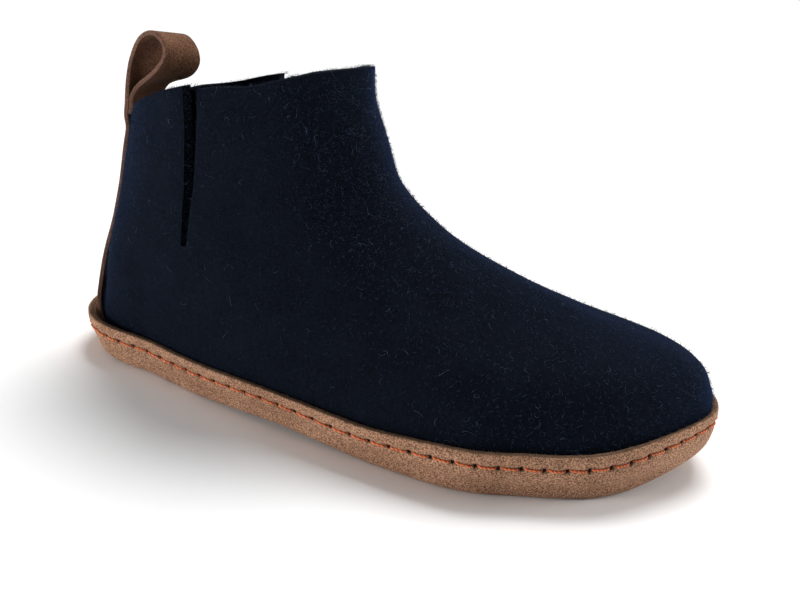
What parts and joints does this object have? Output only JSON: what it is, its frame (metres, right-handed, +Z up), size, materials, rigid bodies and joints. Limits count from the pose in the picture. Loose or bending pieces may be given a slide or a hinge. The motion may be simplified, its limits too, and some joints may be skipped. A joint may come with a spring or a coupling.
{
  "type": "hut slipper",
  "caption": "Right ankle-high wool felt slipper with slit collar, suede cup sole and a suede pull loop at the heel.",
  "frame": {"origin": "on the floor under the middle of the slipper's bounding box", "axes": "+X to the toe, +Y to the inner side of a right foot, +Z up"},
  "size_m": [0.2834, 0.1186, 0.1454],
  "materials": {
    "felt": "wet-felted wool, napped",
    "sole_suede": "suede, napped",
    "insole_felt": "pressed wool felt",
    "strap_suede": "suede, napped"
  },
  "bodies": {
    "root": {"upper": "felt", "sole": "sole_suede", "insole": "insole_felt", "pull_strap": "strap_suede"}
  },
  "joints": []
}
